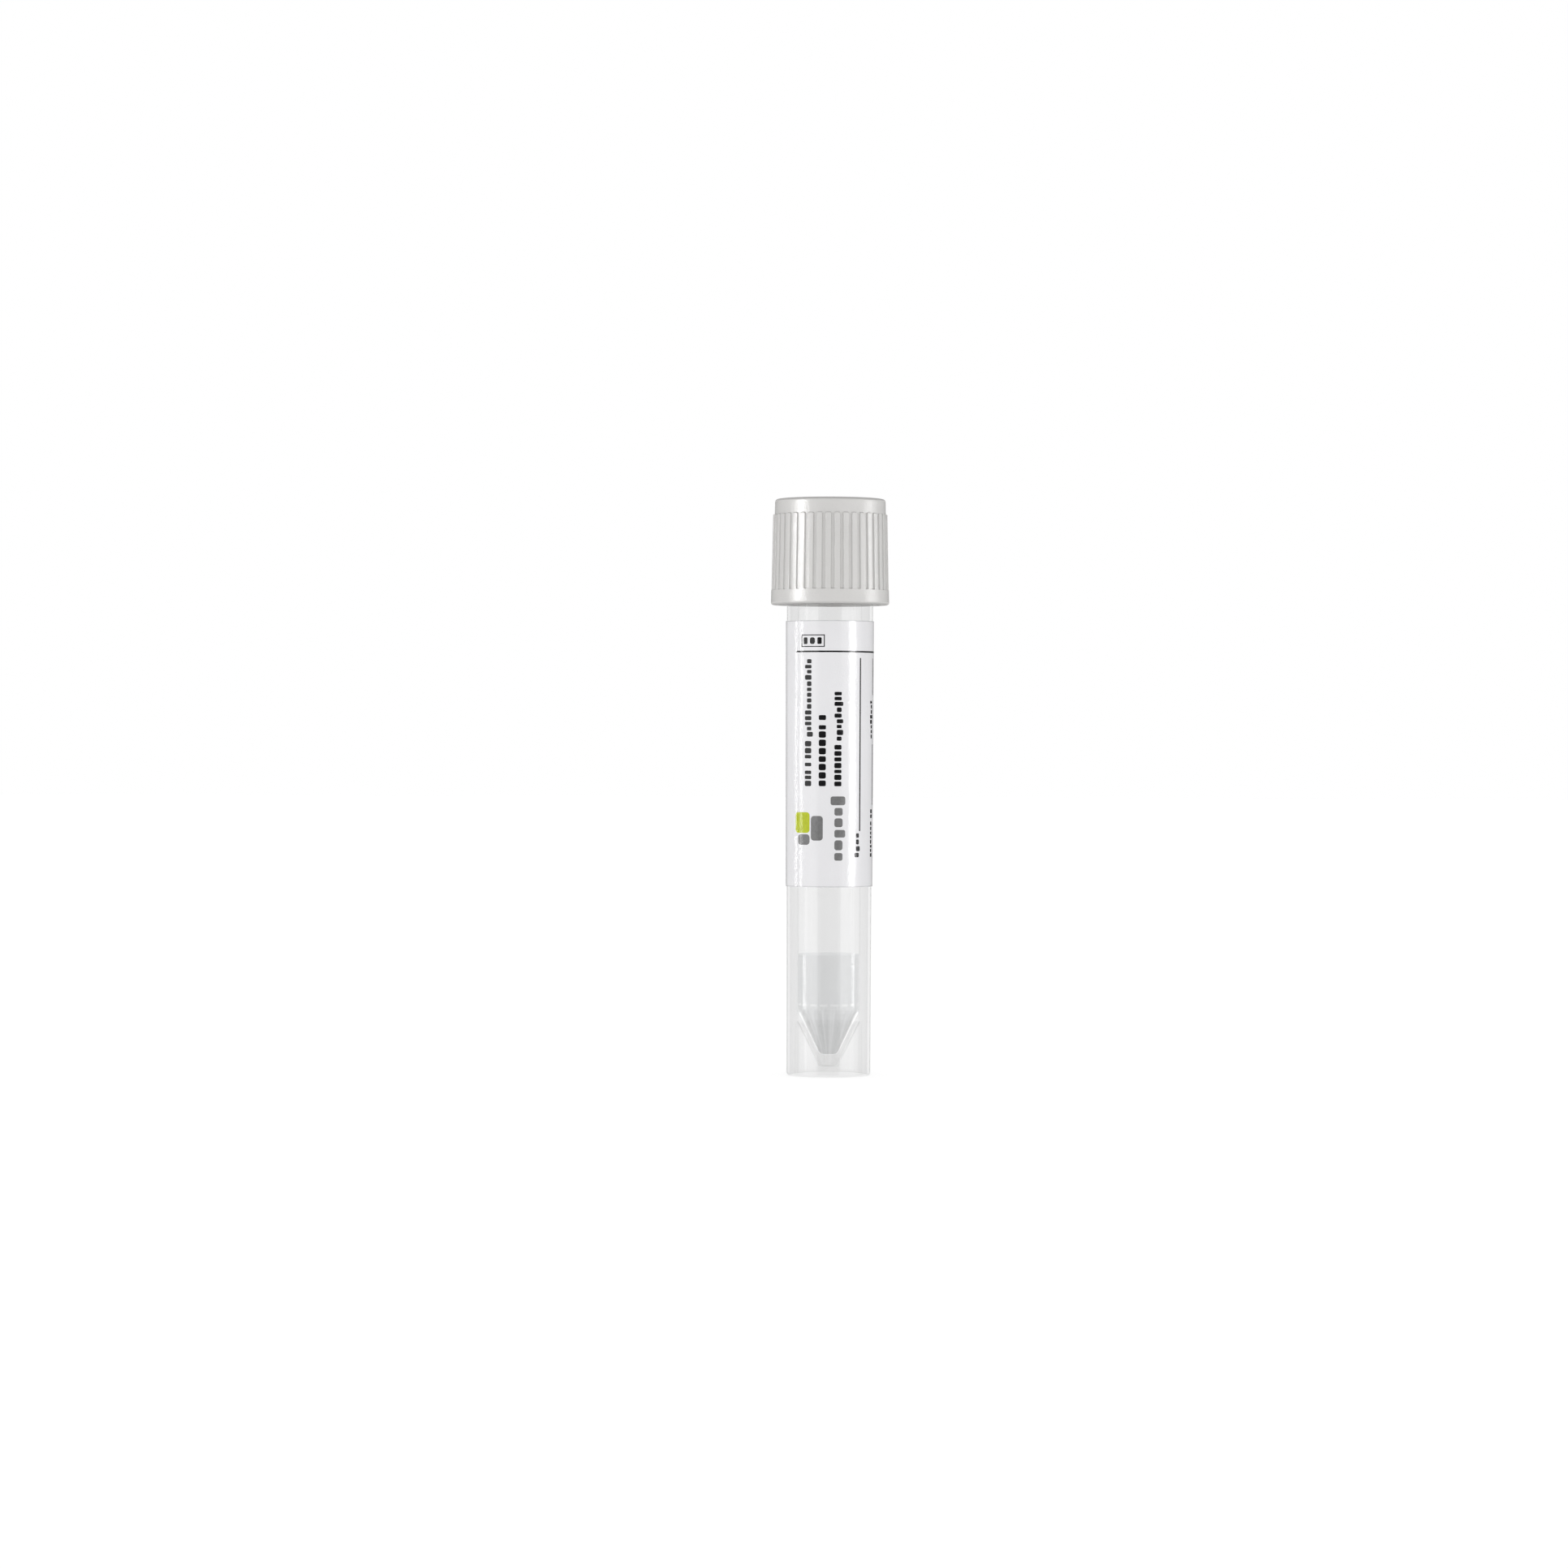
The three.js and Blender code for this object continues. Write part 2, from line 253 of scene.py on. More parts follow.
def outline(corners):
    """Points of a profile given as (radius, height) or (radius, height, round) corners. Long straight runs
    get a point close to each end, so that smooth shading stays in the rounded corners."""
    spots = [np.array(corner[:2], float) for corner in corners]
    parts = []
    for i, corner in enumerate(corners):
        if len(corner) == 3:
            parts.append(arc(spots[i - 1], spots[i], spots[i + 1], corner[2]))
        else:
            parts.append(spots[i][None])
    points = np.concatenate(parts)
    steps = np.hypot(*np.diff(points, axis=0).T)
    along = np.concatenate([[0.0], np.cumsum(steps)])
    long = steps > 4.0 * SUPPORT
    wanted = np.unique(np.concatenate([along, along[:-1][long] + SUPPORT, along[1:][long] - SUPPORT]))
    return np.stack([np.interp(wanted, along, points[:, i]) for i in (0, 1)], axis=1)


def straight(radius, start, end, rows):
    """Evenly spaced profile points on a wall of one radius."""
    return [(radius, height) for height in np.linspace(start, end, rows)]


def turned(radius, height, angle):
    """Grid of points (rows, columns, 3) of a surface of revolution: (radius cos angle, radius sin angle,
    height). The radius may differ from column to column."""
    radius, height, angle = np.broadcast_arrays(radius, height, angle)
    return np.stack([radius * np.cos(angle), radius * np.sin(angle), height], axis=-1)


def around(columns):
    """Angles of evenly spaced columns round the axis, as one row."""
    return (np.arange(columns) * TURN / columns)[None]


def ring_quads(index):
    """Quads between the rows of an index grid whose columns close on themselves."""
    ahead = np.roll(index, -1, axis=1)
    return np.stack([index[:-1], ahead[:-1], ahead[1:], index[1:]], axis=-1).reshape(-1, 4)


def open_quads(index):
    """Quads between the rows and columns of an index grid that is open at its sides."""
    corners = [index[:-1, :-1], index[:-1, 1:], index[1:, 1:], index[1:, :-1]]
    return np.stack(corners, axis=-1).reshape(-1, 4)


def fan(ring, pole, first):
    """Triangles that close a ring on its pole, at the first or the last row of a surface."""
    ahead = np.roll(ring, -1)
    poles = np.full_like(ring, pole)
    return np.stack([poles, ahead, ring] if first else [ring, ahead, poles], axis=-1)


def make_mesh(name, points, faces, slots=None, attributes=None, smooth=True):
    """A mesh from points (n, 3) and a list of face arrays. It may have a material number for each face, and
    named numbers for each point."""
    mesh = bpy.data.meshes.new(name)
    totals = np.concatenate([np.full(len(part), part.shape[1]) for part in faces])
    corners = np.concatenate([part.ravel() for part in faces])
    mesh.vertices.add(len(points))
    mesh.vertices.foreach_set("co", np.ascontiguousarray(points, np.float32).ravel())
    mesh.loops.add(len(corners))
    mesh.loops.foreach_set("vertex_index", corners.astype(np.int32))
    mesh.polygons.add(len(totals))
    mesh.polygons.foreach_set("loop_start", (np.cumsum(totals) - totals).astype(np.int32))
    mesh.polygons.foreach_set("use_smooth", np.full(len(totals), smooth))
    if slots is not None:
        mesh.polygons.foreach_set("material_index", slots.astype(np.int32))
    for key, values in (attributes or {}).items():
        layer = mesh.attributes.new(key, "FLOAT", "POINT")
        layer.data.foreach_set("value", np.ascontiguousarray(values, np.float32).ravel())
    mesh.update(calc_edges=True)
    if mesh.validate():
        raise RuntimeError(f"{name}: the mesh had faults")
    return mesh


def lathe(name, grid, bands, pale=None):
    """Closed mesh over a grid that starts and ends on the axis, where its first and last rows become poles.
    Bands are the material numbers between rows."""
    rows, columns = grid.shape[:2]
    points = np.concatenate([grid[0, :1], grid[1:-1].reshape(-1, 3), grid[-1, :1]])
    index = 1 + np.arange((rows - 2) * columns).reshape(rows - 2, columns)
    faces = [fan(index[0], 0, True), ring_quads(index), fan(index[-1], len(points) - 1, False)]
    marks = None
    # Marks of a painted highlight, where given, go on the points.
    if pale is not None:
        marks = {"pale": np.concatenate([pale[0, :1], pale[1:-1].ravel(), pale[-1, :1]])}
    return make_mesh(name, points, faces, np.repeat(bands, columns), marks)


def sheet(outer, inner):
    """Points and faces of closed slabs between outer and inner grids (count, rows, columns, 3). Columns run
    clockwise seen from outside, so that the faces point outwards."""
    slabs, rows, columns = outer.shape[:3]
    points = np.concatenate([outer.reshape(slabs, -1, 3), inner.reshape(slabs, -1, 3)], axis=1)
    top = np.arange(rows * columns).reshape(rows, columns)
    low = top + rows * columns
    rim = np.concatenate([top[0, :-1], top[:-1, -1], top[-1, :0:-1], top[:0:-1, 0]])
    under = rim + rows * columns
    side = np.stack([rim, under, np.roll(under, -1), np.roll(rim, -1)], axis=-1)
    faces = np.concatenate([open_quads(top), open_quads(low)[:, ::-1], side])
    shift = np.arange(slabs)[:, None, None] * points.shape[1]
    return points.reshape(-1, 3), (faces[None] + shift).reshape(-1, 4)


def place(name, mesh, materials, body, nodes):
    """Puts a finished mesh into the scene as a piece that rides on a body and stands for CAD nodes."""
    old = bpy.data.objects.get(name)
    if old is not None:
        bpy.data.objects.remove(old)
    piece = bpy.data.objects.new(name, mesh)
    bpy.context.scene.collection.objects.link(piece)
    for material in materials:
        mesh.materials.append(material)
    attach(piece, body)
    if nodes:
        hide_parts(*nodes)


# ---- materials


def shaded(base, share):
    """A colour darkened or lightened to a share of itself."""
    return tuple(min(1.0, part * share) for part in base)


class Nodes:
    """Short hand for the shader nodes of one material, or of one world."""

    def __init__(self, name, kind="materials"):
        store = getattr(bpy.data, kind)
        self.owner = store.get(name) or store.new(name)
        self.owner.use_nodes = True
        self.tree = self.owner.node_tree
        self.tree.nodes.clear()

    def add(self, kind, *values, **settings):
        """Adds a node, and feeds the values to its inputs in their order. A setting names a property, or an
        input socket if there is no such property."""
        node = self.tree.nodes.new("ShaderNode" + kind)
        for key, value in settings.items():
            if hasattr(node, key):
                setattr(node, key, value)
            else:
                self.feed(node.inputs[key.replace("_", " ")], value)
        for socket, value in zip(node.inputs, values):
            self.feed(socket, value)
        return node

    def feed(self, socket, value):
        """Links a socket's source, or sets its value."""
        if isinstance(value, bpy.types.NodeSocket):
            self.tree.links.new(value, socket)
        else:
            socket.default_value = value

    def here(self):
        """Where a point is on its piece."""
        return self.add("TexCoord").outputs["Object"]

    def attribute(self, name):
        """A number that the mesh holds for each point."""
        return self.add("Attribute", attribute_name=name).outputs["Fac"]

    def noise(self, scale, detail=2.0, roughness=0.5, stretch=(1.0, 1.0, 1.0)):
        """Noise on the piece's own coordinates, with its grain in cells per metre."""
        moved = self.add("Mapping", Vector=self.here(), Scale=stretch).outputs["Vector"]
        node = self.add("TexNoise", Vector=moved, Scale=scale, Detail=detail, Roughness=roughness)
        return node.outputs["Fac"]

    def spread(self, value, first, last, start=0.3, end=0.7):
        """A number that goes from first to last, along a smoothstep, as the value goes from start to end."""
        node = self.add("MapRange", value, start, end, first, last, interpolation_type="SMOOTHSTEP")
        return node.outputs["Result"]

    def maths(self, operation, *values):
        """The result of one sum."""
        return self.add("Math", *values, operation=operation).outputs[0]

    def blend(self, factor, a, b, kind="RGBA"):
        """Mixes two colours, or two numbers if the kind is FLOAT."""
        node = self.add("Mix", factor, data_type=kind)
        first, result = (6, 2) if kind == "RGBA" else (2, 0)
        for socket, value in zip(node.inputs[first:first + 2], (a, b)):
            self.feed(socket, (*value, 1.0) if isinstance(value, tuple) else value)
        return node.outputs[result]

    def clouded(self, noise, base, low, high):
        """A colour that goes from a low to a high share of itself with a noise."""
        return self.blend(self.spread(noise, 0.0, 1.0), shaded(base, low), shaded(base, high))

    def bump(self, height, distance):
        """A normal that follows a height of a given depth in metres."""
        return self.add("Bump", Height=height, Distance=distance).outputs["Normal"]

    def done(self, shader, output="OutputMaterial"):
        """Links the surface, and returns the material or the world."""
        self.feed(self.add(output).inputs["Surface"], shader.outputs[0])
        return self.owner


def clear_material(name, tint, gloss, edge_gloss, ripple=0.0, fall=5.0, streak=0.0):
    """Clear moulded plastic or liquid without refraction: it lets tinted light straight through, and shines
    by gloss + (edge gloss - gloss) * facing^fall, as Schlick's rule gives it. Flow lines run along the
    moulding, streaks darken it by a share, and where the mesh marks a glint the tint goes to white, as a
    painted highlight."""
    n = Nodes(name)
    flow = n.noise(260.0, 3.0, 0.55, stretch=(1.0, 1.0, 0.12))
    haze = n.clouded(flow, tint, 0.994, 1.004)
    if streak:
        level = n.add("VectorMath", n.here(), (1.0, 1.0, 0.0), operation="MULTIPLY").outputs[0]
        side = n.add("VectorMath", level, operation="NORMALIZE").outputs[0]
        lines = n.add("TexNoise", Vector=side, Scale=7.0, Detail=1.0).outputs["Fac"]
        haze = n.blend(n.spread(lines, 0.0, 1.0, 0.42, 0.58), haze, shaded(tint, 1.0 - streak))
    # Painted highlight: the tint gives way to white where the mesh marks a glint.
    haze = n.blend(n.attribute("pale"), haze, WHITE[:3])
    normal = n.bump(n.noise(420.0, 1.0, 0.4, stretch=(1.0, 1.0, 0.2)), ripple)
    facing = n.add("LayerWeight", Blend=0.5, Normal=normal).outputs["Facing"]
    shine = n.maths("MULTIPLY_ADD", n.maths("POWER", facing, fall), edge_gloss - gloss, gloss)
    clear = n.add("BsdfTransparent", Color=haze).outputs[0]
    mirror = n.add("BsdfGlossy", Color=WHITE, Roughness=n.spread(flow, 0.03, 0.06), Normal=normal).outputs[0]
    return n.done(n.add("MixShader", shine, clear, mirror))


def cap_material(name, base):
    """Fine-grained moulded plastic: a pebbled skin and faint clouding. Where the mesh's "crease" attribute is
    high it is rougher, and darker as painted shade: dark lines at the ribs' feet and on the rounded edges."""
    painted_shade, painted_shade_share, crease_roughness = 0.28, 0.55, 0.5
    n = Nodes(name)
    grain = n.noise(11000.0, 0.0)
    pebble = n.noise(5500.0, 1.0)
    tone = n.clouded(n.noise(320.0, 3.0), base, 0.985, 1.015)
    tone = n.blend(n.spread(grain, 0.0, 1.0), tone, n.blend(0.5, tone, shaded(base, 1.04)))
    crease = n.attribute("crease")
    # Painted shade: the colour darkens towards a share of the base where the crease attribute is high.
    tone = n.blend(n.maths("MULTIPLY", crease, painted_shade), tone, shaded(base, painted_shade_share))
    roughness = n.maths("MULTIPLY_ADD", crease, crease_roughness, n.spread(pebble, 0.17, 0.22))
    skin = n.bump(n.maths("MULTIPLY_ADD", pebble, 1.2, grain), 0.014 * MM)
    return n.done(n.add("BsdfPrincipled", Base_Color=tone, Roughness=roughness, Normal=skin,
                        Specular_IOR_Level=0.35, IOR=1.49))


def rubber_material(base):
    """Matte rubber with a dusty bloom."""
    n = Nodes("seal_rubber")
    bloom = n.noise(900.0, 4.0, 0.6)
    return n.done(n.add("BsdfPrincipled", Base_Color=n.clouded(bloom, base, 0.94, 1.04),
                        Roughness=n.spread(bloom, 0.55, 0.75), Normal=n.bump(n.noise(3000.0), 0.01 * MM)))


def glossy_label(n, tone):
    """A colour under the label's glossy skin, which covers film and print alike: fine grain, short waves, and
    slow ones that make a streak of shine wander."""
    slow_share, wave_share, grain_share = 14.0, 0.3, 1.2
    slow = n.noise(110.0, 0.5, stretch=(1.0, 1.0, 0.6))
    waves = n.noise(1100.0, 1.0, stretch=(1.0, 1.0, 0.7))
    grain = n.maths("MULTIPLY", n.noise(5200.0, 0.5), grain_share)
    relief = n.maths("MULTIPLY_ADD", slow, slow_share, n.maths("MULTIPLY_ADD", waves, wave_share, grain))
    return n.done(n.add("BsdfPrincipled", Base_Color=tone, Roughness=n.spread(waves, 0.09, 0.13),
                        Normal=n.bump(relief, 0.015 * MM)))


def film_material(base, edge):
    """Glossy film, faintly clouded, and darkened towards the edge colour where the mesh's "cut" attribute is
    high: painted shade along its edges.
    """
    n = Nodes("label_film")
    tone = n.clouded(n.noise(120.0), base, 0.985, 1.012)
    # Painted shade: the film darkens towards the edge colour along its edges.
    return glossy_label(n, n.blend(n.maths("MULTIPLY", n.attribute("cut"), 0.9), tone, tuple(edge)))


def ink_material(name, base):
    """Printing ink under the film's gloss, slightly patchy."""
    n = Nodes(name)
    return glossy_label(n, n.clouded(n.noise(2200.0, 3.0, 0.6), base, 0.93, 1.09))


# ---- tube, medium and seal


def body_radius(tube, z):
    """Outer radius of the body at a height, which grows evenly from the foot to the shoulder."""
    return tube.radius - BODY_DRAFT * (tube.height - tube.neck_length - z)


def bore_radius(tube, z):
    """Radius of the bore at a height, which shrinks evenly from the rim down."""
    return tube.radius - tube.wall - BORE_DRAFT * (tube.height - z)


def cone_radius(tube, z, offset):
    """Radius of the bore's cone at a height, on a surface moved outwards by an offset."""
    return (tube.floor_radius + (z - tube.floor_height) * math.tan(tube.cone_angle)
            + offset / math.cos(tube.cone_angle))


def bore_bottom(tube, clearance):
    """Corners of the bore's conical bottom, from its wall to the axis, moved inwards by a clearance. The cone
    meets the wall where both have the same radius."""
    top_round, floor_round = 1.2 * MM, 0.7 * MM
    across = bore_radius(tube, 0.0) - clearance - cone_radius(tube, 0.0, -clearance)
    top = across / (math.tan(tube.cone_angle) - BORE_DRAFT)
    floor = tube.floor_height + clearance
    return [
        (bore_radius(tube, top) - clearance, top, top_round - clearance),
        (cone_radius(tube, floor, -clearance), floor, floor_round - clearance),
        (0.0, floor),
    ]


def underside(tube):
    """Corners of the tube's underside: the tip, the cone's flank, the crease and the skirt's inner wall."""
    tip_round, crease_round, foot_round, crease_width = 0.3 * MM, 0.14 * MM, 0.2 * MM, 0.34 * MM
    skirt = body_radius(tube, 0.0) - tube.skirt_wall
    tip = tube.floor_height - tube.tip
    across = skirt - crease_width - cone_radius(tube, 0.0, tube.cone_wall)
    crease = across / (math.tan(tube.cone_angle) + SKIRT_DRAFT)
    return [
        (0.0, tip),
        (cone_radius(tube, tip, tube.cone_wall), tip, tip_round),
        (cone_radius(tube, crease, tube.cone_wall), crease, crease_round),
        (skirt - SKIRT_DRAFT * crease, crease, crease_round),
        (skirt, 0.0, foot_round),
    ]


def thread_ridge(tube, angle, z, height, shift):
    """Height of a helical ridge over a wall. Its middle climbs by the lead in one turn, and its side view is
    a trapezium with soft corners. It fades in and out over an eighth of a turn."""
    low = tube.height - tube.neck_length + THREAD_START
    high = tube.height - THREAD_END
    pitch = tube.thread_lead / tube.thread_starts
    foot, crest, run = 0.27 * pitch, 0.12 * pitch, tube.thread_lead / 8.0
    turns = (z - low) / pitch - angle * tube.thread_starts / TURN + shift
    off = turns - np.round(turns)
    middle = z - off * pitch
    side = smoothstep(foot, crest, np.abs(off) * pitch)
    return height * side * smoothstep(low, low + run, middle) * smoothstep(high, high - run, middle)


def tube_surface(tube):
    """Grid of the whole tube, from its tip over the outside and the rim to the bore's floor, and the material
    number of each band between rows: 0 outside, 1 in the skirt and in the bore, 2 on the underside's cone."""
    foot_round, step_round, rim_round, bore_round = 0.4 * MM, 0.25 * MM, 0.35 * MM, 0.3 * MM
    shoulder, step = tube.height - tube.neck_length, 0.4 * MM
    neck = tube.radius - tube.neck_step
    profile = outline([
        *underside(tube),
        (body_radius(tube, 0.0), 0.0, foot_round),
        (tube.radius, shoulder, step_round),
        (neck, shoulder + step, step_round),
        *straight(neck, shoulder + 1.1 * MM, tube.height - 0.5 * MM, NECK_ROWS),
        (neck, tube.height, rim_round),
        (tube.radius - tube.wall, tube.height, bore_round),
        *bore_bottom(tube, 0.0),
    ])
    radius, z = profile[:, :1], profile[:, 1:]
    rows = np.arange(len(profile))[:, None]
    foot, rim = np.flatnonzero(z < TINY)[-1], np.argmax(z)
    angle = around(TUBE_COLUMNS)
    ridge = thread_ridge(tube, angle, z, tube.thread_height, 0.0)
    grid = turned(radius + np.where((rows > foot) & (rows < rim), ridge, 0.0), z, angle)
    bands = np.where((rows >= foot) & (rows < rim), 0, 1)[:-1, 0]
    bands[:np.argmax(z[:foot])] = 2
    return grid, bands


def medium_surface(tube):
    """Grid of the medium, which fills the bore's bottom up to a flat surface, a clearance away from the
    plastic, the material number of each band between rows (0 at the sides, 1 on the top, 2 on the cone), and
    a painted highlight for each point: short bright dashes in front, a little over the start of the cone."""
    rim_round, dash_rise, dash_half, dash_count = 0.05 * MM, 0.87 * MM, 0.15 * MM, 18.0
    clearance, top = MEDIUM_CLEARANCE, MEDIUM_HIGH.z - MEDIUM_DROP
    bottom = bore_bottom(tube, clearance)[::-1]
    line = bottom[-1][1] + dash_rise
    dashes = line + np.array([-0.2, -0.1, 0.1, 0.2]) * MM
    profile = outline([
        *bottom,
        *((bore_radius(tube, z) - clearance, z) for z in dashes),
        (bore_radius(tube, top) - clearance, top, rim_round),
        (0.0, top),
    ])
    radius, z = profile[:, :1], profile[:, 1:]
    bands = np.where(radius[:-1, 0] < bore_radius(tube, 0.0) - 0.5 * MM, 2, 0)
    bands[z[:-1, 0] > top - rim_round - 0.001 * MM] = 1
    angle = around(MEDIUM_COLUMNS)
    grid = turned(radius, z, angle)
    dashed = smoothstep(-0.75, -0.35, np.cos(dash_count * angle))
    front = smoothstep(0.0, -tube.radius / 4.0, grid[..., 1])
    # Painted highlight: clear dashes that stand for lights reflected over the start of the cone.
    return grid, bands, (np.abs(z - line) < dash_half) * dashed * front


def seal_surface(low, high):
    """Grid of a flat ring with softly cut edges, closed on itself, from its box's corners."""
    inner, outer, soft = 4.55 * MM, high.x, 0.08 * MM
    middle = ((inner + outer) / 2.0, low.z)
    corners = [(outer, low.z, soft), (outer, high.z, soft), (inner, high.z, soft), (inner, low.z, soft)]
    profile = outline([middle, *corners, middle])[:-1]
    return turned(profile[:, :1], profile[:, 1:], around(SEAL_COLUMNS))


# ---- cap


def rib_angles(cap):
    """Angles of the cap's columns. They crowd at the flanks of each rib, so that its edges are crisp."""
    one = np.concatenate([-RIB_STATIONS[-2:0:-1], RIB_STATIONS])
    whole = np.arange(cap.rib_count)[:, None] + one[None]
    return RIB_PHASE + whole.ravel()[None] * TURN / cap.rib_count


def core_radius(cap, z):
    """Radius of the cap's wall between its ribs at a height, drafted so that the cap widens downwards."""
    return cap.bore + cap.wall + CAP_DRAFT * (cap.top - z)


def relief(cap, angle, z):
    """How far the ribs and the flange stand out of the cap's wall, and how near a point is to the foot of a
    flank, from 0 to 1. A rib is a slot shape with a rounded upper end, and it runs into the flange through
    soft corners: the two signed distances are joined by a smooth minimum, and the height rises over a short
    flank."""
    end_round, soft, flank = 0.2 * MM, 0.12 * MM, 0.06 * MM
    period = TURN / cap.rib_count
    turns = (angle - RIB_PHASE) / period
    across = np.abs(turns - np.round(turns)) * period * core_radius(cap, z)
    side = across - (cap.rib_width / 2.0 - end_round)
    above = z - (cap.top - cap.top_band - end_round)
    outer = np.hypot(np.maximum(side, 0.0), np.maximum(above, 0.0))
    rib = outer + np.minimum(np.maximum(side, above), 0.0) - end_round
    flange = z - (cap.top - cap.height + cap.flange_height) + np.zeros_like(angle)
    share = np.clip(0.5 + 0.5 * (flange - rib) / soft, 0.0, 1.0)
    joined = flange + (rib - flange) * share - soft * share * (1.0 - share)
    raised = smoothstep(0.0, -flank, joined)
    lip = smoothstep(0.02 * MM, -0.10 * MM, flange)
    crease = smoothstep(0.07 * MM, 0.01 * MM, np.abs(joined))
    return cap.rib_height * raised + (cap.flange_step - cap.rib_height) * lip, crease


def cap_inside(cap):
    """Corners of the cap's inside: stick socket, plug, ceiling, threaded wall and mouth."""
    root, lip, lead, ceiling_round, mouth_round = 0.15 * MM, 0.12 * MM, 0.4 * MM, 0.4 * MM, 0.1 * MM
    plug_wall, socket_wall, flare, flare_rise, bevel = 0.9 * MM, 0.4 * MM, 0.5 * MM, 1.2 * MM, 0.4 * MM
    bottom, ceiling = cap.top - cap.height, cap.top - cap.top_wall
    plug, plug_z = cap.plug_radius, ceiling - cap.plug_length
    plug_tip = plug - PLUG_TAPER * cap.plug_length
    socket, socket_z = cap.socket_radius, ceiling - cap.socket_length
    socket_outer = socket + flare + socket_wall
    return [
        (0.0, ceiling),
        (socket, ceiling, root),
        (socket, socket_z + flare_rise),
        (socket + flare, socket_z, lip),
        (socket_outer, socket_z, lip),
        (socket_outer + SOCKET_DRAFT * cap.socket_length, ceiling, root),
        (plug - plug_wall, ceiling, root),
        (plug_tip - plug_wall, plug_z, lead),
        (plug_tip, plug_z, lead),
        (plug, ceiling, root),
        (cap.bore, ceiling, ceiling_round),
        *straight(cap.bore, ceiling - 1.4 * MM, bottom + 0.7 * MM, CAP_THREAD_ROWS),
        (cap.bore, bottom + bevel),
        (cap.bore + bevel, bottom, mouth_round),
        (core_radius(cap, bottom) + cap.flange_step, bottom),
    ]


def cap_outside(cap):
    """Rows of the cap's outside as (radius, height, ribbed): the flange's rounded foot, the ribbed wall, the
    plain band, the rounded top and a shallow gate mark in its middle. The ribbed wall's rows crowd where the
    ribs start and end."""
    foot_round, foot_rise, top_round = 0.32 * MM, 0.5 * MM, 0.4 * MM
    gate, gate_floor, gate_depth = 0.95 * MM, 0.80 * MM, 0.09 * MM
    bottom, top = cap.top - cap.height, cap.top
    rib_top, flange_top = top - cap.top_band, bottom + cap.flange_height
    foot = outline([
        (cap.bore + 1.0 * MM, bottom),
        (core_radius(cap, bottom) + cap.flange_step, bottom, foot_round),
        (core_radius(cap, bottom + foot_rise) + cap.flange_step, bottom + foot_rise),
    ])[1:]
    heights = np.concatenate([
        np.linspace(bottom + 0.6 * MM, flange_top - 0.25 * MM, 3),
        np.linspace(flange_top - 0.18 * MM, flange_top + 0.30 * MM, 13),
        np.linspace(flange_top + 0.6 * MM, rib_top - 0.8 * MM, 7),
        np.linspace(rib_top - 0.40 * MM, rib_top + 0.04 * MM, 13),
    ])
    wall = np.stack([core_radius(cap, heights), heights], axis=1)
    band = rib_top + 0.1 * MM
    upper = outline([
        (core_radius(cap, band), band),
        (core_radius(cap, top), top, top_round),
        (3.2 * MM, top),
        (gate, top, 0.12 * MM),
        (gate_floor, top - gate_depth, 0.08 * MM),
        (0.0, top - gate_depth),
    ])
    ribbed = np.repeat([0.0, 1.0, 0.0], [len(foot), len(wall), len(upper)])
    return np.column_stack([np.concatenate([foot, wall, upper]), ribbed])


def cap_mesh(tube, cap):
    """The whole cap as one closed mesh. Its inside has half as many columns as its outside, and a ring of
    flat five-sided faces joins the two on the rim of its mouth. Its "crease" attribute, which places painted
    shade, is 1 along the ribs' feet, and 2 on the rounded edges at its top and its mouth."""
    rim_shade, rim_from, rim_to, rim_width, foot_lift = 2.0, 0.46 * MM, 0.20 * MM, 0.3 * MM, 0.1 * MM
    fine = rib_angles(cap)
    coarse = fine[:, ::2]
    inside = outline(cap_inside(cap))[:-2]
    radius, z = inside[:, :1], inside[:, 1:]
    ridge = thread_ridge(tube, coarse, z, cap.thread_height, 0.5)
    wall = np.abs(radius - cap.bore) < TINY
    inner = turned(radius - np.where(wall, ridge, 0.0), z, coarse)
    radius, z, ribbed = (part[:, None] for part in cap_outside(cap).T)
    height, crease = relief(cap, fine, z)
    outer = turned(radius + np.where(ribbed, height, 0.0), z, fine)
    inner_rows, outer_rows = len(inner) - 1, len(outer) - 1
    points = np.concatenate([inner[0, :1], inner[1:].reshape(-1, 3),
                             outer[:-1].reshape(-1, 3), outer[-1, :1]])
    low = 1 + np.arange(inner_rows * coarse.size).reshape(inner_rows, -1)
    high = 1 + low.size + np.arange(outer_rows * fine.size).reshape(outer_rows, -1)
    mouth = [low[-1], np.roll(low[-1], -1), np.roll(high[0], -2)[::2], high[0][1::2], high[0][::2]]
    faces = [
        fan(low[0], 0, True),
        ring_quads(low),
        np.stack(mouth, axis=-1),
        ring_quads(high),
        fan(high[-1], len(points) - 1, False),
    ]
    # Painted shade: a dark line on the rounded edges at the top and at the mouth, twice as strong as at the
    # ribs' feet.
    rim = smoothstep(rim_from, rim_to, np.minimum(cap.top - z, z - cap.top + cap.height + foot_lift))
    rim = rim_shade * rim * (radius > core_radius(cap, cap.top) - rim_width)
    crease = np.where(ribbed, crease, rim)
    crease = np.concatenate([np.zeros(1 + low.size), crease[:-1].ravel(), np.zeros(1)])
    slots = np.repeat([1, 1, 0, 0, 0], [len(part) for part in faces])
    return make_mesh("screw_cap_moulded", points, faces, slots, {"crease": crease})


# ---- label and print


def film_radius(tube, label, z):
    """Outer radius of the film at a height, which follows the body's draft."""
    return body_radius(tube, z) + label.standoff + label.thickness


def corner_trim(corner, distance):
    """How much shorter a rounded shape is at a distance from its end: round - sqrt(round^2 - near^2), with
    near = round - distance inside the corner and 0 past it."""
    near = np.clip(corner - distance, 0.0, corner)
    return corner - np.sqrt(corner ** 2 - near ** 2)


